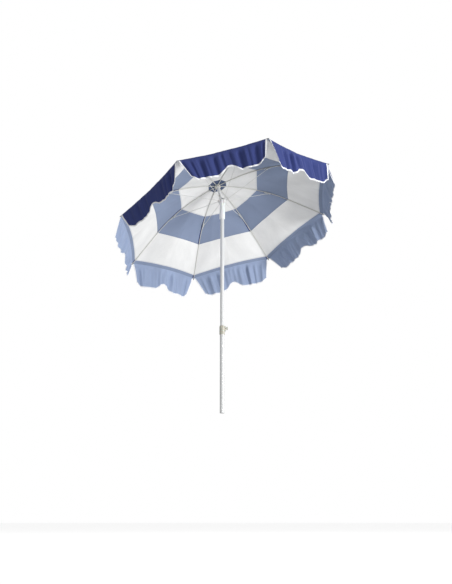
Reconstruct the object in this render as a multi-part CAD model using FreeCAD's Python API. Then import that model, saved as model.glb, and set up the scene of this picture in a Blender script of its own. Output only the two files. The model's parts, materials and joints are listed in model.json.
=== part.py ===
import FreeCAD, Part
import math
import os

# Beach umbrella with a two-part pole, a tilting head and eight folding ribs, in millimetres.
#
# Part frame: origin at the centre of the pole's foot, +Z up the pole, and the canopy leans
# towards +X. Its tilt pivot runs along Y.
# Head frame: origin on the tilt pivot, +Z along the canopy's own axis. The moving head is
# drawn there, upright, and "seat" leans it into place. The rib that is being drawn lies
# over +X, and "around" turns it to its azimuth.

V = FreeCAD.Vector
ORIGIN = V(0, 0, 0)
X_AXIS, Y_AXIS, Z_AXIS = V(1, 0, 0), V(0, 1, 0), V(0, 0, 1)

# Pole and mast
POLE_RADIUS = 18.0
POLE_WALL = 1.5
POLE_NECK = 17.5
POLE_TOP = 674.0
MAST_RADIUS = 16.0
MAST_WALL = 1.2
MAST_BOTTOM = 239.0
MAST_TOP_DEPTH = 16.0
SLIDING_FIT = 0.1
PIVOT_HEIGHT = 1809.0
TILT = 22.5

# Height clamp at the top of the pole
COLLAR_BOTTOM, COLLAR_TOP, COLLAR_RADIUS = 643.0, 716.0, 22.0
SCREW_HEIGHT = 694.0
SCREW_AZIMUTH = 225.0
SCREW_RADIUS = 4.0
SCREW_PITCH = 1.25
SCREW_TURNS = 2.0
PAD_RADIUS, PAD_FACE, PAD_BACK = 5.0, 16.05, 18.4

# Canopy: its inner face over a rib is two tangent arcs, then straight to the tip
RIB_COUNT = 8
FIRST_RIB = 22.5
GORE_HALF = 180.0 / RIB_COUNT
TIP_RADIUS = 943.0
CROWN_HEIGHT = 160.0
CROWN_HOLE = 14.0
CROWN_REACH, CROWN_CURVE = 368.0, 1624.0
SHOULDER_REACH, SHOULDER_CURVE = 642.0, 1038.0
FABRIC = 1.2
SEAM_GAP = 0.2
# Valance half, from the rib to the middle of the gore: distance along the hem, drop
VALANCE = [
    (9, 2), (60, 120), (80, 164), (120, 184), (215, 178), (310, 152), (360, 138), (360, 2),
]

# Ribs and stretchers
RIB_RADIUS, RIB_BORE = 3.0, 2.0
RIB_SINK = 5.5
RIB_PIN_RADIUS, RIB_PIN_AT = 1.25, 20.0
RIB_START, RIB_PLUG_END = 26.0, 40.0
RIB_END = 948.0
EYE_THICKNESS, EYE_RADIUS = 3.2, 3.2
CLIP_AT, CLIP_LENGTH, CLIP_WIDTH = 462.0, 60.0, 9.6
CLIP_PIN_RADIUS, CLIP_PIN_SINK = 1.5, 12.0
STRETCHER_RADIUS, STRETCHER_LENGTH = 2.0, 435.0
TIP_CAP_RADIUS, TIP_CAP_LENGTH = 4.4, 22.0

# Hub and tilting tube
HUB_RADIUS, HUB_BOTTOM, HUB_TOP = 26.0, 137.0, 159.0
HUB_SLOT, HUB_CORE = 7.0, 14.6
HUB_FLOOR, HUB_FLOOR_RADIUS = 2.5, 20.5
PATCH_RADIUS = 83.0
TUBE_RADIUS, TUBE_WALL, TUBE_BOTTOM = 12.5, 1.3, 18.0

# Tilt joint
TONGUE_WIDTH, TONGUE_ROUND = 25.4, 11.5
CHEEK_INNER, CHEEK_OUTER, CHEEK_ROUND, BRACKET_TOP = 13.0, 15.5, 12.0, 62.0
TILT_PIN_RADIUS, RIVET_RADIUS, RIVET_HEIGHT = 3.0, 2.5, 48.0
PIN_FIT = 0.05

# Runner, with heights measured from the tilt pivot
RUNNER_TOP, RUNNER_BOTTOM = -4.0, -167.0
RING_RADIUS, RING_DEPTH = 29.0, 8.0
SLOT_WIDTH, SLOT_CORE, SLOT_BOTTOM = 12.4, 20.5, -50.0

# Fold
RIB_FOLD = 70.0
FOLDED_RING_RADIUS = 31.0


# ---------------------------------------------------------------- shape helpers


def tube(outer, inner, low, high):
    wall = Part.makeCylinder(outer, high - low, V(0, 0, low))
    return wall.cut(Part.makeCylinder(inner, high - low + 2, V(0, 0, low - 1)))


def turned(outline):
    """A solid of revolution about Z. The outline is (radius, height) corners."""
    corners = [V(r, 0, z) for r, z in outline]
    return Part.Face(Part.makePolygon(corners + corners[:1])).revolve(ORIGIN, Z_AXIS, 360)


def block(x, y, z):
    """A box from three (low, high) pairs."""
    return Part.makeBox(x[1] - x[0], y[1] - y[0], z[1] - z[0], V(x[0], y[0], z[0]))


def rod_y(radius, low, high, x=0.0, z=0.0):
    return Part.makeCylinder(radius, high - low, V(x, low, z), Y_AXIS)


def rod_x(radius, low, high):
    return Part.makeCylinder(radius, high - low, V(low, 0, 0), X_AXIS)


def around(shape, azimuth):
    turned_copy = shape.copy()
    turned_copy.rotate(ORIGIN, Z_AXIS, azimuth)
    return turned_copy


def raised(shape, height):
    moved = shape.copy()
    moved.translate(V(0, 0, height))
    return moved


def seat(shape):
    """Lean a head-frame shape over and stand it on the tilt pivot."""
    leaned = shape.copy()
    leaned.rotate(ORIGIN, Y_AXIS, TILT)
    return raised(leaned, PIVOT_HEIGHT)


def on_rib(shape, r, sink=0.0):
    """Put a shape drawn along +X at the rib's centreline at radius r, along its slope."""
    slope = rib_slope(r)
    placed = shape.copy()
    placed.rotate(ORIGIN, Y_AXIS, math.degrees(slope))
    x = r - sink * math.sin(slope)
    z = rib_height(r) - sink * math.cos(slope)
    placed.translate(V(x, 0, z))
    return placed


def write(name, *solids):
    shape = solids[0] if len(solids) == 1 else Part.makeCompound(list(solids))
    shape.exportStep(f"parts/{name}.step")
    volume = sum(s.Volume for s in shape.Solids) / 1000
    print(f"{name}: {len(shape.Solids)} solid, {volume:.1f} cm3, valid {shape.isValid()}")


# ---------------------------------------------------------------- canopy profile


def rib_slope(r):
    """Downward slope of the canopy over a rib, in radians, at radius r."""
    crown_end = math.asin(CROWN_REACH / CROWN_CURVE)
    if r <= CROWN_REACH:
        return math.asin(r / CROWN_CURVE)
    bend = (min(r, SHOULDER_REACH) - CROWN_REACH) / SHOULDER_CURVE
    return math.asin(math.sin(crown_end) + bend)


def canopy_drop(r):
    """How far the canopy's inner face over a rib lies below the crown at radius r."""
    slope = rib_slope(r)
    if r <= CROWN_REACH:
        return CROWN_CURVE * (1 - math.cos(slope))
    crown_cos = math.cos(rib_slope(CROWN_REACH))
    drop = CROWN_CURVE * (1 - crown_cos) + SHOULDER_CURVE * (crown_cos - math.cos(slope))
    return drop + max(0.0, r - SHOULDER_REACH) * math.tan(slope)


def rib_height(r):
    return CROWN_HEIGHT - RIB_SINK - canopy_drop(r)


def profile(start, end, squeeze):
    """The line of the canopy's inner face over a rib, with its radii times squeeze."""

    def point(r):
        return V(r * squeeze, 0, CROWN_HEIGHT - canopy_drop(r))

    edges = []
    for low, high in ((start, CROWN_REACH), (CROWN_REACH, SHOULDER_REACH)):
        edges.append(Part.Arc(point(low), point((low + high) / 2), point(high)).toShape())
    edges.append(Part.LineSegment(point(SHOULDER_REACH), point(end)).toShape())
    return edges


# ---------------------------------------------------------------- fold geometry


def clip_pivot():
    """The stretcher's pivot under the rib, as (radius, height) in the head frame."""
    slope = rib_slope(CLIP_AT)
    x = CLIP_AT - CLIP_PIN_SINK * math.sin(slope)
    return x, rib_height(CLIP_AT) - CLIP_PIN_SINK * math.cos(slope)


def rib_azimuth(i):
    return FIRST_RIB + i * 360.0 / RIB_COUNT


def stretcher_angle(i):
    """Rest angle of stretcher i below the horizontal of the head, towards its runner slot."""
    azimuth, tilt = math.radians(rib_azimuth(i)), math.radians(TILT)
    across = RING_RADIUS * math.cos(azimuth)
    x = across * math.cos(tilt) + RING_DEPTH * math.sin(tilt)
    z = across * math.sin(tilt) - RING_DEPTH * math.cos(tilt)
    r = x * math.cos(azimuth) + RING_RADIUS * math.sin(azimuth) ** 2
    clip_r, clip_z = clip_pivot()
    return math.degrees(math.atan2(clip_z - z, clip_r - r))


def folded_clip():
    """The clip pivot when the rib has folded down about its hub pin."""
    x, z = clip_pivot()
    dx, dz = x - RIB_PIN_AT, z - rib_height(0)
    fold = math.radians(RIB_FOLD)
    folded_x = dx * math.cos(fold) + dz * math.sin(fold)
    folded_z = dz * math.cos(fold) - dx * math.sin(fold)
    return RIB_PIN_AT + folded_x, rib_height(0) + folded_z


def folded_stretcher_angle():
    return math.degrees(math.acos((folded_clip()[0] - FOLDED_RING_RADIUS) / STRETCHER_LENGTH))


def runner_travel():
    """How far the runner slides down when the umbrella folds."""
    end = folded_clip()[1] - STRETCHER_LENGTH * math.sin(math.radians(folded_stretcher_angle()))
    return -RING_DEPTH - end


# ---------------------------------------------------------------- pole, mast and clamp


def lower_pole():
    """Straight tube, drawn in a little at its top where the collar grips it."""
    neck, shoulder, inner = POLE_NECK, COLLAR_BOTTOM - 0.5, POLE_RADIUS - POLE_WALL
    return turned([
        (inner, 0), (POLE_RADIUS, 0), (POLE_RADIUS, shoulder), (neck, shoulder),
        (neck, POLE_TOP), (inner, POLE_TOP),
    ])


def foot_plug():
    inner = POLE_RADIUS - POLE_WALL
    skirt = inner - 4
    return turned([(0, 0), (inner, 0), (inner, 26), (inner - 2, 30), (skirt, 30), (skirt, 5), (0, 5)])


def mast():
    return tube(MAST_RADIUS, MAST_RADIUS - MAST_WALL, MAST_BOTTOM, PIVOT_HEIGHT - MAST_TOP_DEPTH)


def mast_glide():
    """Plastic end bush that guides the mast inside the pole."""
    skirt, stem = POLE_RADIUS - POLE_WALL - SLIDING_FIT, MAST_RADIUS - MAST_WALL
    low, end, bore = MAST_BOTTOM - 8, MAST_BOTTOM, 10.0
    return turned([
        (bore, low), (skirt - 1, low), (skirt, low + 1.5), (skirt, end),
        (stem, end), (stem, end + 22), (bore, end + 22),
    ])


def in_screw_frame(shape):
    """Turn a shape drawn along +X to the clamp screw's azimuth and height."""
    return raised(around(shape, SCREW_AZIMUTH), SCREW_HEIGHT)


def clamp_collar():
    low, top, outer = COLLAR_BOTTOM, COLLAR_TOP, COLLAR_RADIUS
    shell = turned([
        (MAST_RADIUS, low), (outer - 0.5, low), (outer, low + 3),
        (outer, top - 8), (outer - 3, top), (MAST_RADIUS, top),
    ])
    boss = rod_x(9, 17, 29).fuse(block((17, 29), (-6, 6), (-24, 20)))
    collar = shell.fuse(in_screw_frame(boss))
    collar = collar.cut(Part.makeCylinder(POLE_NECK, POLE_TOP - low + 1, V(0, 0, low - 1)))
    collar = collar.cut(Part.makeCylinder(MAST_RADIUS + SLIDING_FIT, 100, V(0, 0, POLE_TOP - 10)))
    collar = collar.cut(in_screw_frame(rod_x(PAD_RADIUS + 0.3, 10, 21.3)))
    return collar.cut(in_screw_frame(rod_x(SCREW_RADIUS + 0.08, 10, 40))).removeSplitter()


def clamp_pad():
    disc = in_screw_frame(rod_x(PAD_RADIUS, 10, PAD_BACK))
    return disc.cut(Part.makeCylinder(PAD_FACE, 60, V(0, 0, SCREW_HEIGHT - 30)))


def clamp_screw():
    screw = rod_x(SCREW_RADIUS, PAD_BACK + 0.05, 36).fuse(rod_x(7.5, 33, 45))
    wings = []
    for turn in (0, 180):
        wing = block((34, 46), (-2.2, 2.2), (0, 8)).fuse(rod_y(6, -2.2, 2.2, 40, 8))
        wing.rotate(ORIGIN, X_AXIS, turn)
        wings.append(wing)
    return in_screw_frame(screw.fuse(wings).removeSplitter())


# ---------------------------------------------------------------- tilt joint


def tilt_fitting():
    """Plug in the mast's top with the tongue that the head tilts on."""
    inner, mast_top, plug_end = MAST_RADIUS - MAST_WALL, -MAST_TOP_DEPTH, -72.0
    plug = turned([
        (0, plug_end), (inner, plug_end), (inner, mast_top),
        (MAST_RADIUS, mast_top), (MAST_RADIUS, mast_top + 3), (0, mast_top + 3),
    ])
    half = TONGUE_WIDTH / 2
    tongue = rod_y(TONGUE_ROUND, -half, half).fuse(
        block((-TONGUE_ROUND, TONGUE_ROUND), (-half, half), (mast_top + 2, 0))
    )
    within_mast = Part.makeCylinder(MAST_RADIUS, 60, V(0, 0, -40))
    fitting = plug.fuse(tongue.common(within_mast)).removeSplitter()
    return raised(fitting.cut(rod_y(TILT_PIN_RADIUS + PIN_FIT, -20, 20)), PIVOT_HEIGHT)


def tilt_bracket():
    """U-shaped pressing: two cheeks on the tilt pin and a web behind the tilting tube."""
    cheeks = []
    for low in (-CHEEK_OUTER, CHEEK_INNER):
        high = low + CHEEK_OUTER - CHEEK_INNER
        foot = rod_y(CHEEK_ROUND, low, high)
        cheeks.append(foot.fuse(block((-CHEEK_ROUND, CHEEK_ROUND), (low, high), (0, BRACKET_TOP))))
    behind = (-TUBE_RADIUS - 2.2, -CHEEK_ROUND + 0.5)
    web = block(behind, (-CHEEK_OUTER, CHEEK_OUTER), (16, BRACKET_TOP))
    bracket = cheeks[0].fuse([cheeks[1], web]).cut(Part.makeCylinder(TUBE_RADIUS, 60, V(0, 0, 14)))
    for radius, height in ((TILT_PIN_RADIUS, 0.0), (RIVET_RADIUS, RIVET_HEIGHT)):
        bracket = bracket.cut(rod_y(radius, -20, 20, 0, height))
    return seat(bracket.removeSplitter())


def rivet(radius, head, height):
    """A pin across both cheeks with a low domed head at each end."""
    end = CHEEK_OUTER + 2.2
    pin = rod_y(radius, -CHEEK_OUTER, CHEEK_OUTER, 0, height)
    for side in (-1, 1):
        base = V(0, side * CHEEK_OUTER, height)
        pin = pin.fuse(Part.makeCone(head, head * 0.6, end - CHEEK_OUTER, base, V(0, side, 0)))
    return seat(pin.removeSplitter())


def upper_tube():
    pipe = tube(TUBE_RADIUS, TUBE_RADIUS - TUBE_WALL, TUBE_BOTTOM, HUB_TOP)
    return seat(pipe.cut(rod_y(RIVET_RADIUS, -20, 20, 0, RIVET_HEIGHT)))


# ---------------------------------------------------------------- hub and crown


def hub_pin():
    return rod_y(RIB_PIN_RADIUS, -HUB_SLOT, HUB_SLOT, RIB_PIN_AT, rib_height(0))


def hub():
    body = turned([
        (TUBE_RADIUS, HUB_BOTTOM), (HUB_RADIUS - 3, HUB_BOTTOM), (HUB_RADIUS, HUB_BOTTOM + 3),
        (HUB_RADIUS, HUB_TOP - 1), (HUB_RADIUS - 1, HUB_TOP), (TUBE_RADIUS, HUB_TOP),
    ])
    half, beyond = HUB_SLOT / 2, HUB_RADIUS + 5
    slot = block((HUB_CORE, beyond), (-half, half), (HUB_BOTTOM + HUB_FLOOR, HUB_TOP + 1)).fuse(
        block((HUB_FLOOR_RADIUS, beyond), (-half, half), (HUB_BOTTOM - 1, HUB_TOP + 1))
    )
    for i in range(RIB_COUNT):
        body = body.cut(around(slot.fuse(hub_pin()), rib_azimuth(i)))
    return seat(body)


def hub_pins():
    return [seat(around(hub_pin(), rib_azimuth(i))) for i in range(RIB_COUNT)]


def crown_patch():
    """Eight-sided cover over the middle of the canopy."""
    low = CROWN_HEIGHT + FABRIC + 0.2
    corner = Part.Vertex(V(PATCH_RADIUS, 0, low))
    corners = [around(corner, rib_azimuth(i)).Point for i in range(RIB_COUNT)]
    plate = Part.Face(Part.makePolygon(corners + corners[:1])).extrude(V(0, 0, 1.0))
    return seat(plate.cut(Part.makeCylinder(TUBE_RADIUS - TUBE_WALL, 10, V(0, 0, low - 4))))


def finial():
    stem, flange = TUBE_RADIUS - TUBE_WALL, CROWN_HEIGHT + FABRIC + 1.2
    ball = Part.makeSphere(13.0, V(0, 0, flange + 12))
    base = turned([
        (0, flange - 26), (stem - 1, flange - 26), (stem, flange - 24), (stem, flange),
        (21, flange), (21, flange + 2), (15, flange + 5), (0, flange + 7),
    ])
    return seat(base.fuse(ball))


# ---------------------------------------------------------------- runner


def runner():
    outline = [
        (MAST_RADIUS + SLIDING_FIT, RUNNER_TOP), (34, RUNNER_TOP), (35, RUNNER_TOP - 1.5),
        (34.6, -10), (31, -20), (26, -32), (22.2, -40), (19.6, -45), (19.6, -49),
        (20.6, -58), (21, -68), (21, -82), (22, -94), (23.6, -106), (24.2, -118),
        (24.2, -130), (23.7, -142), (23.4, -160), (22.4, RUNNER_BOTTOM),
        (MAST_RADIUS + SLIDING_FIT, RUNNER_BOTTOM),
    ]
    body = turned(outline)
    body = body.cut(Part.makeCylinder(SLOT_CORE, 20, V(0, 0, -12)))
    slot = block((SLOT_CORE, 45), (-SLOT_WIDTH / 2, SLOT_WIDTH / 2), (SLOT_BOTTOM, 5))
    for i in range(RIB_COUNT):
        body = body.cut(around(slot, rib_azimuth(i)))
    return raised(body, PIVOT_HEIGHT)


# ---------------------------------------------------------------- one rib, drawn over +X


def arc_bar(radius, centre, start, turn):
    """Round bar that leaves start along +X's side and turns downwards about centre."""
    outward = start - centre
    along = V(outward.z, 0, -outward.x)
    section = Part.Face(Part.Wire(Part.makeCircle(radius, start, along)))
    return section.revolve(centre, Y_AXIS, math.degrees(turn))


def rib_bar(radius, inner=RIB_START):
    """Round bar along the rib's curve: two ring segments and a straight end."""
    low_slope, bend_slope, end_slope = (rib_slope(r) for r in (inner, CROWN_REACH, SHOULDER_REACH))
    start, bend, straight = (V(r, 0, rib_height(r)) for r in (inner, CROWN_REACH, SHOULDER_REACH))
    crown_centre = V(0, 0, rib_height(0) - CROWN_CURVE)
    bend_up = V(math.sin(bend_slope), 0, math.cos(bend_slope))
    end_along = V(math.cos(end_slope), 0, -math.sin(end_slope))
    end_length = (RIB_END - SHOULDER_REACH) / math.cos(end_slope)
    pieces = [
        arc_bar(radius, crown_centre, start, bend_slope - low_slope),
        arc_bar(radius, bend - bend_up * SHOULDER_CURVE, bend, end_slope - bend_slope),
        Part.makeCylinder(radius, end_length, straight, end_along),
    ]
    return pieces[0].fuse(pieces[1:])


def rib():
    height = rib_height(0)
    half = EYE_THICKNESS / 2
    eye = rod_y(EYE_RADIUS, -half, half, RIB_PIN_AT, height)
    shank = block((RIB_PIN_AT, RIB_PIN_AT + 14), (-half, half), (height - 2.4, height + 1.9))
    pipe = rib_bar(RIB_RADIUS).cut(rib_bar(RIB_BORE, RIB_PLUG_END))
    return pipe.fuse([eye, shank]).cut(rod_y(RIB_PIN_RADIUS + PIN_FIT, -9, 9, RIB_PIN_AT, height))


def rib_clip():
    """Saddle clipped under the rib, with two cheeks, and the pin that the stretcher turns on."""
    half_length, half_width, gap = CLIP_LENGTH / 2, CLIP_WIDTH / 2, EYE_THICKNESS / 2 + 0.3
    saddle = block((-half_length, half_length), (-half_width, half_width), (-7.6, 1.8))
    ear = rod_y(4.5, -half_width, half_width, 0, -CLIP_PIN_SINK).fuse(
        block((-4.5, 4.5), (-half_width, half_width), (-CLIP_PIN_SINK, -5))
    )
    clip = saddle.fuse(ear).removeSplitter()
    clip = clip.cut(block((-9, 9), (-gap, gap), (-20, -7.6)))
    pin = rod_y(CLIP_PIN_RADIUS, -half_width - 0.8, half_width + 0.8, 0, -CLIP_PIN_SINK)
    clip = on_rib(clip.cut(pin), CLIP_AT).cut(rib_bar(RIB_RADIUS))
    return clip, on_rib(pin, CLIP_AT)


def rib_tip():
    """Blunt plastic cap on the rib's end."""
    half = TIP_CAP_LENGTH / 2
    cap = rod_x(TIP_CAP_RADIUS, -half, half - 3).fuse(
        Part.makeCone(TIP_CAP_RADIUS, 2.2, 3, V(half - 3, 0, 0), X_AXIS)
    )
    return on_rib(cap.removeSplitter(), RIB_END - 6).cut(rib_bar(RIB_RADIUS))


def stretcher(i):
    half = EYE_THICKNESS / 2
    bar = rod_x(STRETCHER_RADIUS, 5 - STRETCHER_LENGTH, -5)
    for end, bore in ((0.0, CLIP_PIN_RADIUS + PIN_FIT), (-STRETCHER_LENGTH, 1.2)):
        inward = -1 if end == 0 else 1
        flat = block(sorted((end, end + inward * 12)), (-half, half), (-1.9, 1.9))
        bar = bar.fuse([rod_y(EYE_RADIUS, -half, half, end), flat]).cut(rod_y(bore, -9, 9, end))
    bar.rotate(ORIGIN, Y_AXIS, -stretcher_angle(i))
    x, z = clip_pivot()
    bar.translate(V(x, 0, z))
    return bar


def canopy_half():
    """The fabric between the rib over +X and the middle of the gore on its +Y side."""
    squeeze = math.cos(math.radians(GORE_HALF))
    lower = profile(CROWN_HOLE, TIP_RADIUS, squeeze)
    upper = [edge.translated(V(0, 0, FABRIC)) for edge in lower]
    ends = []
    for r in (CROWN_HOLE, TIP_RADIUS):
        corner = V(r * squeeze, 0, CROWN_HEIGHT - canopy_drop(r))
        ends.append(Part.LineSegment(corner, corner + V(0, 0, FABRIC)).toShape())
    outline = Part.Wire(Part.__sortEdges__(lower + upper + ends))
    strip = Part.Face(outline).extrude(V(0, -TIP_RADIUS, 0))
    reach, low, widening = TIP_RADIUS * 1.2, -500.0, math.tan(math.radians(GORE_HALF))
    corners = [
        V(SEAM_GAP / widening, -SEAM_GAP, low), V(reach, -SEAM_GAP, low), V(reach, -reach * widening, low),
    ]
    wedge = Part.Face(Part.makePolygon(corners + corners[:1])).extrude(V(0, 0, 1000))
    return around(strip.common(wedge), GORE_HALF)


def valance_half(i, side):
    """Flat upright flap, square to the hem, on one side of rib i, in the part frame."""
    height = CROWN_HEIGHT - canopy_drop(TIP_RADIUS)
    reach = TIP_RADIUS * math.cos(math.radians(GORE_HALF))
    azimuth = rib_azimuth(i)
    tip = seat(around(Part.Vertex(V(TIP_RADIUS, 0, height)), azimuth)).Point
    middle = seat(around(Part.Vertex(V(reach, 0, height)), azimuth + side * GORE_HALF)).Point
    along = (middle - tip).normalize()
    down = (along * along.z - Z_AXIS).normalize()
    corners = [tip + along * distance + down * drop for distance, drop in VALANCE]
    outward = along.cross(Z_AXIS).normalize() * side
    return Part.Face(Part.makePolygon(corners + corners[:1])).extrude(outward * FABRIC)


# ---------------------------------------------------------------- all the nodes


def main():
    os.makedirs("parts", exist_ok=True)
    write("lower_pole", lower_pole())
    write("foot_plug", foot_plug())
    write("clamp_collar", clamp_collar())
    write("clamp_pad", clamp_pad())
    write("clamp_screw", clamp_screw())
    write("mast", mast())
    write("mast_glide", mast_glide())
    write("tilt_fitting", tilt_fitting())
    write("runner", runner())
    write("tilt_bracket", tilt_bracket())
    write("tilt_pins", rivet(TILT_PIN_RADIUS, 6.0, 0.0), rivet(RIVET_RADIUS, 5.0, RIVET_HEIGHT))
    write("upper_tube", upper_tube())
    write("hub", hub())
    write("hub_pins", *hub_pins())
    write("crown_patch", crown_patch())
    write("finial", finial())
    pieces = {"rib": [rib()], "rib_clip": rib_clip(), "rib_tip": [rib_tip()]}
    gore = canopy_half()
    gores = [gore, gore.mirror(ORIGIN, Y_AXIS)]
    for i in range(RIB_COUNT):
        for name, solids in pieces.items():
            write(f"{name}_{i + 1}", *[seat(around(solid, rib_azimuth(i))) for solid in solids])
        write(f"stretcher_{i + 1}", seat(around(stretcher(i), rib_azimuth(i))))
        cloth = [seat(around(half, rib_azimuth(i))) for half in gores]
        cloth += [valance_half(i, side) for side in (-1, 1)]
        write(f"canopy_{i + 1}", *cloth)
    print(f"runner travel {runner_travel():.2f}, folded stretcher {folded_stretcher_angle():.2f}")


if __name__ == "__main__":
    main()
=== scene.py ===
"""Beach umbrella, seen from below its leaning canopy. Metres, in the frame of the part.

The hard parts are the frame's own, with new materials. The cloth is made here: for each rib the
canopy from one middle of a gore to the next, its seam, and two half flaps of the valance with
their white binding, and over the middle of the canopy a crown patch.
"""

import json
import math

import bpy
import numpy as np
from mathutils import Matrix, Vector


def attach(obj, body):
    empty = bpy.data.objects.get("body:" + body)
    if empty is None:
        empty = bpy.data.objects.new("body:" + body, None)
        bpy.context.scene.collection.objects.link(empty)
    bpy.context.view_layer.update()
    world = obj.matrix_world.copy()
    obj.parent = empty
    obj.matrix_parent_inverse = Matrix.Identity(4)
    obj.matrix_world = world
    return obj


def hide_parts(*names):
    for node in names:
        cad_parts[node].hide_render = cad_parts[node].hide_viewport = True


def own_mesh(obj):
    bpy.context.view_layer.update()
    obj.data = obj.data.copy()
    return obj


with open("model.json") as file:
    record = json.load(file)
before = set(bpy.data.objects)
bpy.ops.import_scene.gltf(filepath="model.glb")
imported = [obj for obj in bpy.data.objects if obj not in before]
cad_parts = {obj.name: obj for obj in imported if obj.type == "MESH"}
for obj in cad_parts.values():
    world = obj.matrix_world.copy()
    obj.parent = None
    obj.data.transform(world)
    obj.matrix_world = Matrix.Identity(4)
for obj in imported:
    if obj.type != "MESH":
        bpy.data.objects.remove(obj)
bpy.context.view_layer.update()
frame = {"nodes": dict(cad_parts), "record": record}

# The canopy's line over a rib, as in the frame: two tangent arcs, then straight to the tip.
PIVOT_HEIGHT = 1.809
TILT = math.radians(22.5)
RIBS = 8
HALF = math.pi / RIBS
TIP = 0.943
CROWN = 0.160
CROWN_REACH, CROWN_CURVE = 0.368, 1.624
SHOULDER_REACH, SHOULDER_CURVE = 0.642, 1.038
CROWN_SINE = CROWN_REACH / CROWN_CURVE

# Cloth
THICK = 0.0007
HOLE = 0.014
PATCH = 0.083
PATCH_HOLE = 0.012
LAYER_GAP = 0.0006  # between a cloth and the tape or patch that lies on it
BOW = 0.022  # the seams and the hem bow towards the crown between two ribs
SAG = 0.012  # and the cloth hangs in from the straight line
FOLD_SEED, FLAP_SEED, SEAM_SEED = 40, 70, 20
SEAM_WIDTH = 0.011
SEAM_START, SEAM_GAP = 0.0012, 0.0004  # from the rib's line, and below the canopy
TAPE_WIDTH = 0.011
TAPE_FOLD = 0.001  # how far the tape's fold stands off the cloth's edge
TAPE_INSIDE = 0.35  # share of the tape's width that shows on the inner face
HALF_HEM = 0.36
FLAP_SIDE = 0.150
FLAP_LOBE = 0.188
FLAP_NOTCH = 0.052
FLAP_INSET = 0.062
FLAP_EDGE = 0.975
GATHERS = (0.0105, 0.0062, 0.0014)  # heights of the three sets of folds in a flap
# How each gore's flap hangs: how far its foot swings out, how much more at the far end,
# how far it leans along the hem, and how much deeper it is than the plain flap
HANG = (
    (0.034, 0.0, -0.010, 0.0),
    (0.004, 0.0, 0.0, 0.0),
    (0.0, 0.0, 0.006, 0.0),
    (0.006, 0.0, 0.050, 0.0),
    (0.062, 0.020, -0.006, 0.0),
    (0.016, 0.0, -0.030, 0.011),
    (0.004, 0.0, 0.0, 0.011),
    (0.0, 0.0, 0.010, 0.012),
)
# A gore's cloth is a triangle, a flap is scalloped
# Grids of points
CANOPY_ROWS = 94
SEAM_ROWS = 110
FLAP_ROWS, FLAP_COLUMNS = 30, 86
TAPE_DOWN, TAPE_ALONG = 26, 87  # points of the tape down a flap's side and along its foot
PATCH_ROWS, PATCH_STEPS = 12, 12
NORMAL_STEP = 1e-3
# Pitch of the weave, of the tape's ribs and of the stitches on each
WEAVE_PITCH, STITCH_PITCH = 0.0012, 0.0045
TAPE_PITCH, TAPE_STITCH_PITCH = 0.0011, 0.004
# Where the colours change along a rib, as shares of the way to the tip
BANDS = (0.087, 0.391, 0.682, 0.966)
NAVY = (0.036, 0.052, 0.190)
# Painted light: the inner face's crown and blue bands are painted lighter than NAVY, for light that
# comes through the cloth
INSIDE_PAINTED_LIT_CROWN = (0.085, 0.115, 0.20)
INSIDE_PAINTED_LIT_BLUE = (0.235, 0.288, 0.412)
# Painted light: the flaps' inner blue is painted lighter still, for light through the hanging cloth
FLAP_PAINTED_BACKLIGHT = 1.33  # the hanging flaps let light through, so their inner face is paler
OUTSIDE_WHITE = (0.80, 0.80, 0.80)
INSIDE_WHITE = (0.83, 0.83, 0.82)
TAPE_WHITE = (0.84, 0.85, 0.88)
SEAM_SHADE = (0.10, 0.12, 0.20)
THREAD = (0.72, 0.73, 0.76)
TAPE_WEAR = (0.55, 0.56, 0.58)
TAPE_THREAD = (0.6, 0.62, 0.68)

# Studio
FLOOR_SIZE, FLOOR_HEIGHT, FLOOR_GLOW = 400, -0.98, 0.46
BRIGHT_SIDE = (-0.705, -0.709, 0.0)
WORLD_DIM, WORLD_BRIGHT = 0.38, 0.66
CAMERA_PLACE = (-5.21227, 5.12952, -0.85057)
CAMERA_AZIMUTH, CAMERA_PITCH = math.radians(225.207), math.radians(14.226)
CAMERA_SENSOR, CAMERA_LENS = 36.0, 56.02


# ---------------------------------------------------------------- shapes of the cloth


def smooth(x, low, high):
    share = np.clip((x - low) / (high - low), 0, 1)
    return share * share * (3 - 2 * share)


def seat(points):
    """From the canopy's own upright frame, about the tilt pivot, to the part's frame."""
    x, y, z = points[..., 0], points[..., 1], points[..., 2]
    c, s = math.cos(TILT), math.sin(TILT)
    return np.stack([x * c + z * s, y, z * c - x * s + PIVOT_HEIGHT], -1)


def rib_azimuth(i):
    return (i + 0.5) * 2 * HALF


def sine_at(r):
    """Sine of the canopy's slope over a rib at radius r."""
    bend = (np.minimum(r, SHOULDER_REACH) - CROWN_REACH) / SHOULDER_CURVE
    return np.where(r <= CROWN_REACH, r / CROWN_CURVE, CROWN_SINE + bend)


def drop(r):
    """How far the canopy lies below its crown over a rib, at radius r."""
    cosine = np.sqrt(1 - sine_at(r) ** 2)
    crown_cos = math.sqrt(1 - CROWN_SINE**2)
    lower = CROWN_CURVE * (1 - crown_cos) + SHOULDER_CURVE * (crown_cos - cosine)
    lower = lower + np.maximum(0, r - SHOULDER_REACH) * sine_at(r) / cosine
    return np.where(r <= CROWN_REACH, CROWN_CURVE * (1 - cosine), lower)


def gore_folds(g, t, v):
    """Soft folds that run down gore g, and the puckers along its gathered hem."""
    rng = np.random.default_rng(FOLD_SEED + g)
    depth = np.zeros(np.broadcast(t, v).shape)
    for _ in range(3):
        at, wide, high, lean = rng.uniform((-0.6, 0.10, 0.6, -0.5), (0.6, 0.22, 2.2, 0.5))
        line = at + lean * (v - 0.5)
        depth = depth + 0.001 * high * np.exp(-(((t - line) / wide) ** 2))
    depth = depth * smooth(v, 0.12, 0.5)
    phase = rng.uniform(0, 6, 2)
    pucker = np.sin(31 * t + phase[0] + 2 * np.sin(5 * t)) + 0.6 * np.sin(53 * t + phase[1])
    return depth + 0.0005 * pucker * smooth(v, TIP - 0.05, TIP)


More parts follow.
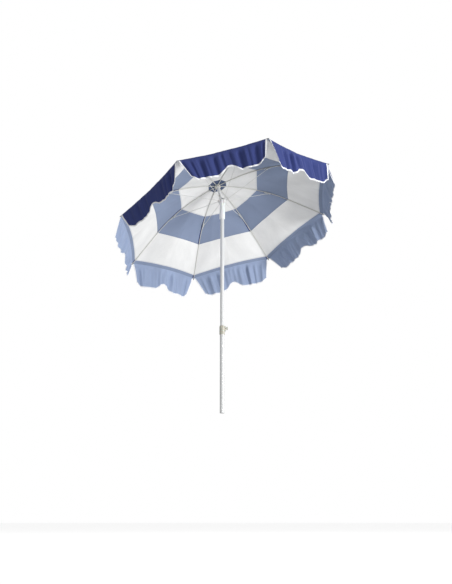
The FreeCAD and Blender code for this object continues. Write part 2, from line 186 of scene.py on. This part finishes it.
def gore(g, t, v):
    """Point of the cloth between ribs g and g+1: t from -1 to 1 across, v along the cloth."""
    across = 1 - t * t
    r = v - BOW * (v / TIP) ** 2 * across
    sine = sine_at(r)
    sag = SAG * smooth(v, 0.03, 0.45) - 0.003 * smooth(v, 0.6, TIP)
    inward = across * (sag + gore_folds(g, t, v))
    x = r * math.cos(HALF) - inward * sine
    y = r * math.sin(HALF) * t
    z = CROWN - drop(r) - inward * np.sqrt(1 - sine**2)
    azimuth = rib_azimuth(g) + HALF
    c, s = math.cos(azimuth), math.sin(azimuth)
    return seat(np.stack([x * c - y * s, x * s + y * c, z], -1))


class Flap:
    """The valance of gore g: t from -1 to 1 along the hem, b from 0 at the hem to 1 below."""

    def __init__(self, g):
        ends = gore(g, np.array([-1.0, 1.0]), np.array([TIP, TIP]))
        self.g = g
        self.flare, self.twist, self.lean, self.reach = HANG[g]
        self.along = (ends[1] - ends[0]) / np.linalg.norm(ends[1] - ends[0])
        down = self.along * self.along[2] - np.array([0, 0, 1.0])
        self.down = down / np.linalg.norm(down)
        self.out = np.cross(self.along, np.array([0, 0, 1.0]))
        self.out /= np.linalg.norm(self.out)
        rng = np.random.default_rng(FLAP_SEED + g)
        self.notch = rng.uniform(-0.07, 0.07)
        self.lobes = rng.uniform(-0.003, 0.010, 2)
        self.pitch = rng.uniform((38, 60, 97), (46, 72, 114))
        self.phase = rng.uniform(0, 6.28, 6)
        self.drift = rng.uniform(-1.6, 1.6, 3)

    def depth(self, t):
        """Two lobes with a notch between them, shorter at the corners."""
        lobe = np.where(t < self.notch, self.lobes[0], self.lobes[1])
        notch = np.exp(-np.abs((t - self.notch) / 0.17) ** 2.4)
        corner = smooth(np.abs(t), 0.72, 1.0)
        ripple = 0.0025 * np.sin(13 * t + self.phase[3])
        lobed = (1 - notch) * (lobe + ripple)
        lobed = lobed - FLAP_NOTCH * notch - (FLAP_LOBE - FLAP_SIDE) * corner
        return FLAP_LOBE + self.reach + lobed

    def gathers(self, t, b):
        """Folds that start under the hem and widen downwards, uneven along it."""
        total = np.zeros(np.broadcast(t, b).shape)
        for k, high in enumerate(GATHERS):
            swell = 0.65 + 0.35 * np.sin(7 * t + self.phase[k] * 3)
            turn = self.pitch[k] * t * 0.5 + self.phase[k] + self.drift[k] * b
            turn = turn + 0.9 * np.sin(4.3 * t + self.phase[k + 1])
            total = total + high * swell * (np.sin(turn) + 0.3 * np.sin(2 * turn + 1.0))
        return total

    def point(self, t, b):
        top = gore(self.g, t, np.full(np.shape(t), TIP))
        side = self.lean * b - np.sign(t) * np.abs(t) ** 2.5 * FLAP_INSET * b
        fall = self.depth(t) * b
        start = smooth(b, 0.02, 0.35)
        out = self.gathers(t, b) * start * (1.0 - 0.35 * b)
        out = out + 0.008 * b * b * np.sin(2.2 * t + self.phase[4])
        out = out + 0.004 * smooth(b, 0, 0.08) + (self.flare + self.twist * t) * b
        return (
            top
            + side[..., None] * self.along
            + fall[..., None] * self.down
            + out[..., None] * self.out
        )


def normals(surface, a, b):
    """Unit normals of surface(a, b) at each of its points."""
    along = surface(a + NORMAL_STEP, b) - surface(a - NORMAL_STEP, b)
    across = surface(a, b + NORMAL_STEP) - surface(a, b - NORMAL_STEP)
    n = np.cross(across, along)
    return n / np.linalg.norm(n, axis=-1, keepdims=True)


# ---------------------------------------------------------------- meshes


def add_mesh(name, points, faces, face_materials, materials, uv, vertex_normals=None):
    """A piece with one UV per point; it is smooth when it is given normals."""
    mesh = bpy.data.meshes.new(name)
    mesh.from_pydata([tuple(p) for p in points], [], [tuple(f) for f in faces])
    for material in materials:
        mesh.materials.append(material)
    mesh.polygons.foreach_set("material_index", np.array(face_materials, np.int32))
    loops = np.zeros(len(mesh.loops), np.int32)
    mesh.loops.foreach_get("vertex_index", loops)
    layer = mesh.uv_layers.new(name="cloth")
    layer.data.foreach_set("uv", np.asarray(uv, np.float32)[loops].ravel())
    mesh.polygons.foreach_set("use_smooth", [vertex_normals is not None] * len(faces))
    if vertex_normals is not None:
        mesh.normals_split_custom_set_from_vertices([tuple(n) for n in vertex_normals])
    mesh.update()
    piece = bpy.data.objects.new(name, mesh)
    bpy.context.scene.collection.objects.link(piece)
    return piece


def shell(name, base, n, uv, materials, lift=0.0):
    """A closed thin sheet on a grid of points: its base is the inner face."""
    rows, columns = base.shape[:2]
    inner = (base + lift * n).reshape(-1, 3)
    outer = (base + (lift + THICK) * n).reshape(-1, 3)
    at = np.arange(rows * columns).reshape(rows, columns)
    quads = np.stack([at[:-1, :-1], at[:-1, 1:], at[1:, 1:], at[1:, :-1]], -1).reshape(-1, 4)
    border = np.concatenate([at[0, :-1], at[:-1, -1], at[-1, :0:-1], at[:0:-1, 0]])
    ahead = np.roll(border, -1)
    count = rows * columns
    rim = np.stack([border, ahead, ahead + count, border + count], -1)
    faces = np.concatenate([quads[:, ::-1] + count, quads, rim[:, ::-1]])
    kinds = [0] * len(quads) + [1] * len(quads) + [0] * len(rim)
    flat_n = n.reshape(-1, 3)
    flat_uv = uv.reshape(-1, 2)
    return add_mesh(
        name,
        np.concatenate([inner, outer]),
        faces,
        kinds,
        materials,
        np.concatenate([flat_uv, flat_uv]),
        np.concatenate([-flat_n, flat_n]),
    )


def binding(name, surface, path, inside, material):
    """Tape folded over an edge of a sheet. path and inside are its edge and inner line."""
    edge, inner = surface(*path), surface(*inside)
    edge_n, inner_n = normals(surface, *path), normals(surface, *inside)
    outward = edge - inner
    outward /= np.linalg.norm(outward, axis=-1, keepdims=True)
    over, under = THICK + LAYER_GAP, LAYER_GAP
    ring = [
        inner + inner_n * over,
        edge + edge_n * over,
        edge + outward * TAPE_FOLD + edge_n * THICK / 2,
        edge - edge_n * under,
        edge + (inner - edge) * TAPE_INSIDE - inner_n * under,
        inner + inner_n * THICK / 2,
    ]
    points = np.stack(ring, 1)
    count, sides = points.shape[:2]
    at = np.arange(count * sides).reshape(count, sides)
    turned = np.roll(at, -1, axis=1)
    quads = np.stack([at[:-1], at[1:], turned[1:], turned[:-1]], -1).reshape(-1, 4)
    faces = [tuple(q) for q in quads] + [tuple(at[0]), tuple(at[-1][::-1])]
    run = np.concatenate([[0], np.cumsum(np.linalg.norm(np.diff(edge, axis=0), axis=1))])
    wide = np.array([1, 0, 0, 0, TAPE_INSIDE, 1]) * TAPE_WIDTH
    uv = np.stack(np.broadcast_arrays(run[:, None], wide[None, :]), -1).reshape(-1, 2)
    return add_mesh(name, points.reshape(-1, 3), faces, [0] * len(faces), [material], uv)


# ---------------------------------------------------------------- materials


def node(tree, kind, inputs=None, **settings):
    """A node with its settings, and its inputs set to values or linked to sockets."""
    made = tree.nodes.new(kind)
    for key, value in settings.items():
        setattr(made, key, value)
    for key, value in (inputs or {}).items():
        if isinstance(value, bpy.types.NodeSocket):
            tree.links.new(value, made.inputs[key])
        else:
            made.inputs[key].default_value = value
    return made


def math_node(tree, operation, *values):
    return node(tree, "ShaderNodeMath", dict(enumerate(values)), operation=operation).outputs[0]


def blend_colors(tree, share, a, b, mode="MIX"):
    made = node(tree, "ShaderNodeMix", {0: share, 6: a, 7: b}, data_type="RGBA", blend_type=mode)
    return made.outputs[2]


def spread(tree, value, low, high, start, end):
    """The value from low to high, spread over start to end."""
    inputs = {0: value, 1: low, 2: high, 3: start, 4: end}
    return node(tree, "ShaderNodeMapRange", inputs).outputs[0]


def wave(tree, value, pitch):
    turns = math_node(tree, "MULTIPLY", value, 2 * math.pi / pitch)
    return math_node(tree, "SINE", turns)


def noise(tree, place, scale, detail):
    inputs = {"Vector": place, "Scale": scale, "Detail": detail}
    return node(tree, "ShaderNodeTexNoise", inputs).outputs[0]


def roughen(tree, shader, height, strength, distance):
    """Relief from a height, for the fine grain that the mesh has no room for."""
    inputs = {"Height": height, "Strength": strength, "Distance": distance}
    bump = node(tree, "ShaderNodeBump", inputs)
    tree.links.new(bump.outputs[0], shader.inputs["Normal"])


def ramp(tree, value, stops, interpolation="LINEAR"):
    made = node(tree, "ShaderNodeValToRGB", {0: value})
    made.color_ramp.interpolation = interpolation
    elements = made.color_ramp.elements
    elements.remove(elements[1])
    elements[0].position, elements[0].color = stops[0]
    for position, color in stops[1:]:
        elements.new(position).color = color
    return made.outputs[0]


def grey(value):
    return (value, value, value, 1.0)


def start_material(name):
    material = bpy.data.materials.new(name)
    material.use_nodes = True
    tree = material.node_tree
    shader = tree.nodes["Principled BSDF"]
    return material, tree, shader


def hard_material(name, color, rough, metallic=0.0, grain=0.0012, relief=0.00004, dirt=0.06,
                  subsurface=0.0, coat=0.0, scuff=(0.5, 0.5, 0.48)):
    """Paint, moulded plastic or metal: grain in its relief, uneven gloss, and faint grime."""
    material, tree, shader = start_material(name)
    place = node(tree, "ShaderNodeTexCoord").outputs["Object"]
    fine = noise(tree, place, 1 / grain, 3.0)
    broad = noise(tree, place, 14.0, 6.0)
    spots = noise(tree, place, 120.0, 4.0)
    stain = ramp(tree, broad, [(0.45, grey(0)), (0.8, grey(1))])
    speck = ramp(tree, spots, [(0.62, grey(0)), (0.75, grey(1))])
    dirty = math_node(tree, "MULTIPLY", math_node(tree, "MAXIMUM", stain, speck), dirt)
    tone = blend_colors(tree, dirty, (*color, 1), (*scuff, 1))
    tree.links.new(tone, shader.inputs["Base Color"])
    gloss = spread(tree, broad, 0.3, 0.7, rough - 0.06, rough + 0.09)
    tree.links.new(gloss, shader.inputs["Roughness"])
    roughen(tree, shader, fine, 0.5, relief)
    shader.inputs["Metallic"].default_value = metallic
    shader.inputs["Coat Weight"].default_value = coat
    if subsurface:
        shader.inputs["Subsurface Weight"].default_value = subsurface
        shader.inputs["Subsurface Scale"].default_value = 0.004
    return material


def cloth_material(name, crown, blue, white, worn):
    """Woven cloth with sewn colour bands, from UVs in metres: across the gore, and down it."""
    material, tree, shader = start_material(name)
    uv = node(tree, "ShaderNodeUVMap", uv_map="cloth").outputs[0]
    parts = node(tree, "ShaderNodeSeparateXYZ", {0: uv}).outputs
    share = math_node(tree, "DIVIDE", parts[1], TIP)
    blue_color, white_color = (*blue, 1), (*white, 1)
    stops = [(0.0, (*crown, 1))] + [
        (edge, white_color if k % 2 == 0 else blue_color) for k, edge in enumerate(BANDS)
    ]
    band = ramp(tree, share, stops, "CONSTANT")
    # Cloth fades and creases unevenly, mostly in streaks down the gore.
    stretched = node(tree, "ShaderNodeMapping", {0: uv, "Scale": (7.0, 4.0, 1.0)}).outputs[0]
    streaks = noise(tree, stretched, 1.0, 5.0)
    slubs = node(tree, "ShaderNodeMapping", {0: uv, "Scale": (900.0, 60.0, 1.0)}).outputs[0]
    slubs = noise(tree, slubs, 1.0, 2.0)
    shade = spread(tree, streaks, 0.3, 0.7, 1 - worn, 1 + worn * 0.4)
    thread = spread(tree, slubs, 0.2, 0.8, 1 - worn * 0.8, 1.0)
    shade = math_node(tree, "MULTIPLY", shade, thread)
    shade = node(tree, "ShaderNodeCombineXYZ", {0: shade, 1: shade, 2: shade}).outputs[0]
    tone = blend_colors(tree, 1.0, band, shade, "MULTIPLY")
    # Each seam is a ridge where two bands overlap, with a line of stitches beside it.
    ridge, line = [(0.0, grey(0))], [(0.0, grey(0))]
    for edge in BANDS:
        ridge += [(edge - 0.009, grey(0)), (edge - 0.007, grey(1))]
        ridge += [(edge - 0.001, grey(1)), (edge + 0.001, grey(0))]
        line += [(edge - 0.0078, grey(0)), (edge - 0.0070, grey(1)), (edge - 0.0062, grey(0))]
    overlap = ramp(tree, share, ridge)
    row = ramp(tree, share, line)
    dashes = math_node(tree, "GREATER_THAN", wave(tree, parts[0], STITCH_PITCH), -0.4)
    stitches = math_node(tree, "MULTIPLY", row, dashes)
    tone = blend_colors(tree, math_node(tree, "MULTIPLY", overlap, 0.16), tone, (*SEAM_SHADE, 1))
    tone = blend_colors(tree, math_node(tree, "MULTIPLY", stitches, 0.55), tone, (*THREAD, 1))
    tree.links.new(tone, shader.inputs["Base Color"])
    threads = [wave(tree, part, WEAVE_PITCH) for part in (parts[0], parts[1])]
    weave = math_node(tree, "MULTIPLY", *threads)
    height = math_node(tree, "MULTIPLY_ADD", weave, 0.05, math_node(tree, "MULTIPLY", overlap, 0.5))
    height = math_node(tree, "ADD", height, math_node(tree, "MULTIPLY", stitches, 0.25))
    height = math_node(tree, "MULTIPLY_ADD", streaks, 1.2, height)
    roughen(tree, shader, height, 0.6, 0.0008)
    tree.links.new(spread(tree, streaks, 0.3, 0.7, 0.74, 0.9), shader.inputs["Roughness"])
    shader.inputs["Sheen Weight"].default_value = 0.04
    shader.inputs["Sheen Roughness"].default_value = 0.5
    shader.inputs["Specular IOR Level"].default_value = 0.25
    return material


def tape_material(name, color):
    """Ribbed cotton tape with a row of stitches along its inner edge."""
    material, tree, shader = start_material(name)
    uv = node(tree, "ShaderNodeUVMap", uv_map="cloth").outputs[0]
    parts = node(tree, "ShaderNodeSeparateXYZ", {0: uv}).outputs
    ribs = wave(tree, parts[0], TAPE_PITCH)
    share = math_node(tree, "DIVIDE", parts[1], TAPE_WIDTH)
    row = ramp(tree, share, [(0.0, grey(0)), (0.66, grey(0)), (0.74, grey(1)), (0.82, grey(0))])
    dashes = math_node(tree, "GREATER_THAN", wave(tree, parts[0], TAPE_STITCH_PITCH), -0.3)
    stitches = math_node(tree, "MULTIPLY", row, dashes)
    wear = noise(tree, uv, 40.0, 4.0)
    worn = math_node(tree, "MULTIPLY", wear, 0.12)
    tone = blend_colors(tree, worn, (*color, 1), (*TAPE_WEAR, 1))
    tone = blend_colors(tree, math_node(tree, "MULTIPLY", stitches, 0.3), tone, (*TAPE_THREAD, 1))
    tree.links.new(tone, shader.inputs["Base Color"])
    height = math_node(tree, "MULTIPLY_ADD", stitches, 0.6, math_node(tree, "MULTIPLY", ribs, 0.2))
    roughen(tree, shader, height, 0.5, 0.0003)
    tree.links.new(spread(tree, wear, 0.0, 1.0, 0.7, 0.9), shader.inputs["Roughness"])
    shader.inputs["Sheen Weight"].default_value = 0.2
    return material


# Colour, roughness and the rest of each hard material, by the frame's material slot
FINISHES = {
    "pole_paint": ((0.70, 0.71, 0.71), 0.34, {"coat": 0.25, "dirt": 0.10}),
    "white_plastic": ((0.86, 0.86, 0.85), 0.32, {"subsurface": 0.08}),
    "hub_plastic": ((0.70, 0.69, 0.62), 0.40, {"subsurface": 0.08}),
    "clamp_plastic": ((0.50, 0.49, 0.41), 0.38, {"subsurface": 0.08}),
    "clip_plastic": ((0.52, 0.53, 0.52), 0.45, {}),
    "tip_plastic": ((0.25, 0.26, 0.27), 0.45, {"dirt": 0.12}),
    "dark_plastic": ((0.06, 0.06, 0.065), 0.5, {"dirt": 0.15}),
    "bracket_paint": ((0.70, 0.70, 0.68), 0.38, {"coat": 0.2, "dirt": 0.12}),
    "rib_paint": ((0.60, 0.60, 0.56), 0.42, {"dirt": 0.2}),
    "stretcher_paint": ((0.62, 0.62, 0.60), 0.40, {"dirt": 0.2}),
    "rivet_brass": (
        (0.48, 0.42, 0.31), 0.36, {"metallic": 1.0, "dirt": 0.2, "scuff": (0.3, 0.22, 0.12)},
    ),
    "steel_wire": ((0.55, 0.55, 0.56), 0.30, {"metallic": 1.0, "dirt": 0.1}),
}


def paint_frame():
    """New materials for the frame's own nodes, by their material slot."""
    finishes = {
        name: hard_material(name, color, rough, **more)
        for name, (color, rough, more) in FINISHES.items()
    }
    for part in frame["record"]["subparts"]:
        finish = finishes.get(part["material_slot"])
        if finish:
            piece = frame["nodes"][part["node"]]
            for slot in piece.material_slots:
                slot.material = finish


# ---------------------------------------------------------------- the cloth


def rib_columns():
    """Shares of the way from the rib to the middle of the gore, close together at the rib."""
    near = [0.0, 0.006, 0.014, 0.028, 0.05, 0.08]
    return np.array(near + list(np.linspace(0.12, 1.0, 23)))


def on_two_gores(i, s, v):
    """Points and normals of the canopy about rib i, with s from -1 to 1 across it."""

    def side(g, t):
        def surface(a, b):
            return gore(g, a, b)

        return surface(t, v), normals(surface, t, v)

    high, high_n = side(i, np.abs(s) - 1)
    low, low_n = side((i - 1) % RIBS, 1 - np.abs(s))
    mask = (s > 0)[..., None]
    n = np.where(mask, high_n, low_n)
    middle = high_n + low_n
    middle /= np.linalg.norm(middle, axis=-1, keepdims=True)
    return np.where(mask, high, low), np.where((s == 0)[..., None], middle, n)


def fold_with_rib(piece, i):
    """The piece follows rib i."""
    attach(piece, f"rib_{i + 1}")
    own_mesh(piece)


def add_canopy(i, cloth):
    """The canopy from the middle of the gore before rib i to the middle of the one after it."""
    side = rib_columns()
    columns = np.concatenate([-side[:0:-1], side])
    s, v = np.meshgrid(columns, np.linspace(HOLE, TIP, CANOPY_ROWS))
    base, n = on_two_gores(i, s, v)
    uv = np.stack([s * v * math.sin(HALF) + i, v], -1)
    piece = shell(f"canopy_cloth_{i + 1}", base, n, uv, cloth)
    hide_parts(f"canopy_{i + 1}")
    fold_with_rib(piece, i)
    return piece


def add_seam(i, outside):
    """The seam allowance of two gores, pressed flat beside the rib under the canopy."""
    rng = np.random.default_rng(SEAM_SEED + i)
    v = np.linspace(PATCH + 0.01, TIP - 0.004, SEAM_ROWS)
    wander = 0.0015 * np.sin(18 * v + rng.uniform(0, 6))
    wander = wander + 0.001 * np.sin(41 * v + rng.uniform(0, 6))
    near = np.full(v.shape, SEAM_START)
    far = SEAM_WIDTH + wander
    distance = np.stack([near, (near + far) / 2, far], 1)
    rows = np.repeat(v[:, None], 3, axis=1)
    s = distance / (rows * math.sin(HALF))
    base, n = on_two_gores(i, s, rows)
    uv = np.stack([distance, rows], -1)
    lift = -SEAM_GAP - THICK
    piece = shell(f"gore_seam_{i + 1}", base, n, uv, [outside, outside], lift=lift)
    fold_with_rib(piece, i)
    return piece


def add_flap(i, half, cloth, tape):
    """Half a flap of the valance beside rib i: half is 1 on its far side, -1 on its near one."""
    flap = Flap(i if half > 0 else (i - 1) % RIBS)
    start, end = (-FLAP_EDGE, 0.0) if half > 0 else (0.0, FLAP_EDGE)
    t, b = np.meshgrid(np.linspace(start, end, FLAP_COLUMNS), np.linspace(0, 1, FLAP_ROWS))
    n = normals(flap.point, t, b)
    uv = np.stack([t * HALF_HEM + i, TIP + b * flap.depth(t)], -1)
    name = f"valance_{i + 1}_{'far' if half > 0 else 'near'}"
    n = n * np.sign((n * flap.out).sum(-1, keepdims=True))
    piece = shell(name, flap.point(t, b), n, uv, cloth)

    # The tape runs down the side at the rib, round the corner and along the foot.
    corner = -half * FLAP_EDGE
    down = np.linspace(0.03, 1.0, TAPE_DOWN)
    away = np.linspace(corner, 0.0, TAPE_ALONG + 1)[1:]
    edge_t = np.concatenate([np.full(TAPE_DOWN, corner), away])
    edge_b = np.concatenate([down, np.ones(TAPE_ALONG)])
    turn = smooth(np.arange(TAPE_DOWN + TAPE_ALONG), TAPE_DOWN - 4, TAPE_DOWN + 4)
    inner_t = edge_t + half * (1 - turn) * TAPE_WIDTH / HALF_HEM
    inner_b = edge_b - turn * TAPE_WIDTH / flap.depth(edge_t)
    trim = binding(f"{name}_tape", flap.point, (edge_t, edge_b), (inner_t, inner_b), tape)
    for made in (piece, trim):
        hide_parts(f"canopy_{i + 1}")
        fold_with_rib(made, i)
    return piece, trim


def add_crown_patch(cloth):
    """Eight-sided patch over the crown, between the canopy and the finial."""
    turns = np.linspace(0, RIBS, RIBS * PATCH_STEPS + 1)[:-1]
    radii = np.linspace(PATCH_HOLE, PATCH, PATCH_ROWS)
    points, outward = [], []
    for turn in turns:
        g = int(turn)
        t = np.full(PATCH_ROWS, 2 * (turn - g) - 1)

        def surface(a, b, g=g):
            return gore(g, a, b)

        base = surface(t, radii)
        n = normals(surface, t, radii)
        points.append(base + n * (THICK + LAYER_GAP))
        outward.append(n)
    points = np.stack(points + points[:1], 1)
    outward = np.stack(outward + outward[:1], 1)
    angle = np.linspace(0, 2 * math.pi, len(turns) + 1) * np.ones((PATCH_ROWS, 1))
    uv = np.stack([angle * 0.05, np.broadcast_to(radii[:, None], angle.shape) * 0.9], -1)
    piece = shell("crown_patch_cloth", points, outward, uv, cloth)
    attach(piece, "head")
    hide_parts("crown_patch")


def add_cloth():
    """The whole canopy and valance, each sheet on the body that carries it."""
    outside = cloth_material("canopy_outside", NAVY, NAVY, OUTSIDE_WHITE, 0.08)
    # Painted light: the inner face is a lighter copy of the outside's blues, for light through the
    # cloth
    inside = cloth_material("canopy_inside_blues_painted_lit", INSIDE_PAINTED_LIT_CROWN, INSIDE_PAINTED_LIT_BLUE, INSIDE_WHITE, 0.10)
    # Painted light: the flaps' inner face gets a lighter copy of the inside's blue
    paler = tuple(FLAP_PAINTED_BACKLIGHT * part for part in INSIDE_PAINTED_LIT_BLUE)
    painted_backlit_flap_inside = cloth_material("valance_inside_painted_backlit", INSIDE_PAINTED_LIT_CROWN, paler, INSIDE_WHITE, 0.10)
    tape = tape_material("white_binding", TAPE_WHITE)
    cloth, painted_backlit_flap_cloth = [outside, inside], [outside, painted_backlit_flap_inside]
    for i in range(RIBS):
        canopy = add_canopy(i, cloth)
        seam = add_seam(i, outside)
        for half in (1, -1):
            flap, trim = add_flap(i, half, painted_backlit_flap_cloth, tape)
    add_crown_patch(cloth)


# ---------------------------------------------------------------- floor, light and camera


def add_floor():
    """A white paper floor, wide enough to reach the horizon; it looks brighter than it lights."""
    bpy.ops.mesh.primitive_plane_add(size=FLOOR_SIZE, location=(0, 0, FLOOR_HEIGHT))
    floor = bpy.context.object
    floor.name = "floor"
    material, tree, shader = start_material("floor_paper")
    place = node(tree, "ShaderNodeTexCoord").outputs["Object"]
    cloud = noise(tree, place, 0.8, 2.0)
    tone = ramp(tree, cloud, [(0.3, grey(0.86)), (0.7, grey(0.89))])
    tree.links.new(tone, shader.inputs["Base Color"])
    shader.inputs["Emission Color"].default_value = (1, 1, 1, 1)
    seen = node(tree, "ShaderNodeLightPath").outputs["Is Camera Ray"]
    glow = math_node(tree, "MULTIPLY", seen, FLOOR_GLOW)
    tree.links.new(glow, shader.inputs["Emission Strength"])
    shader.inputs["Roughness"].default_value = 0.9
    shader.inputs["Specular IOR Level"].default_value = 0.1
    floor.data.materials.append(material)


def add_world():
    """A white studio: bright on the camera's right, dimmer on its left."""
    world = bpy.data.worlds.new("studio")
    world.use_nodes = True
    bpy.context.scene.world = world
    tree = world.node_tree
    background = tree.nodes["Background"]
    way = node(tree, "ShaderNodeTexCoord").outputs["Generated"]
    across = node(tree, "ShaderNodeVectorMath", {0: way, 1: BRIGHT_SIDE}, operation="DOT_PRODUCT")
    level = spread(tree, across.outputs["Value"], -0.9, 0.6, WORLD_DIM, WORLD_BRIGHT)
    seen = node(tree, "ShaderNodeLightPath").outputs["Is Camera Ray"]
    strength = node(tree, "ShaderNodeMix", {0: seen, 2: level, 3: 1.0}).outputs[0]
    tree.links.new(strength, background.inputs["Strength"])
    background.inputs["Color"].default_value = (1, 1, 1, 1)


def add_light(name, place, aim, size, power):
    """A square soft light, turned towards the point that it aims at."""
    data = bpy.data.lights.new(name, "AREA")
    data.size, data.energy = size, power
    light = bpy.data.objects.new(name, data)
    light.location = place
    light.rotation_euler = (Vector(aim) - Vector(place)).to_track_quat("-Z", "Y").to_euler()
    bpy.context.scene.collection.objects.link(light)


def add_camera():
    level = math.cos(CAMERA_PITCH)
    forward = Vector((
        -math.sin(CAMERA_AZIMUTH) * level, math.cos(CAMERA_AZIMUTH) * level, math.sin(CAMERA_PITCH),
    ))
    data = bpy.data.cameras.new("camera")
    data.sensor_width, data.lens = CAMERA_SENSOR, CAMERA_LENS
    camera = bpy.data.objects.new("camera", data)
    camera.location = CAMERA_PLACE
    camera.rotation_euler = forward.to_track_quat("-Z", "Y").to_euler()
    bpy.context.scene.collection.objects.link(camera)
    bpy.context.scene.camera = camera


add_camera()
add_floor()
add_world()
add_light("key", (-5.0, -1.2, 0.9), (0, 0, 1.8), 1.6, 210)
add_light("top", (-0.6, 0.6, 4.8), (0.1, 0, 1.9), 2.4, 32)
bpy.context.scene.view_settings.view_transform = "Standard"
paint_frame()
add_cloth()
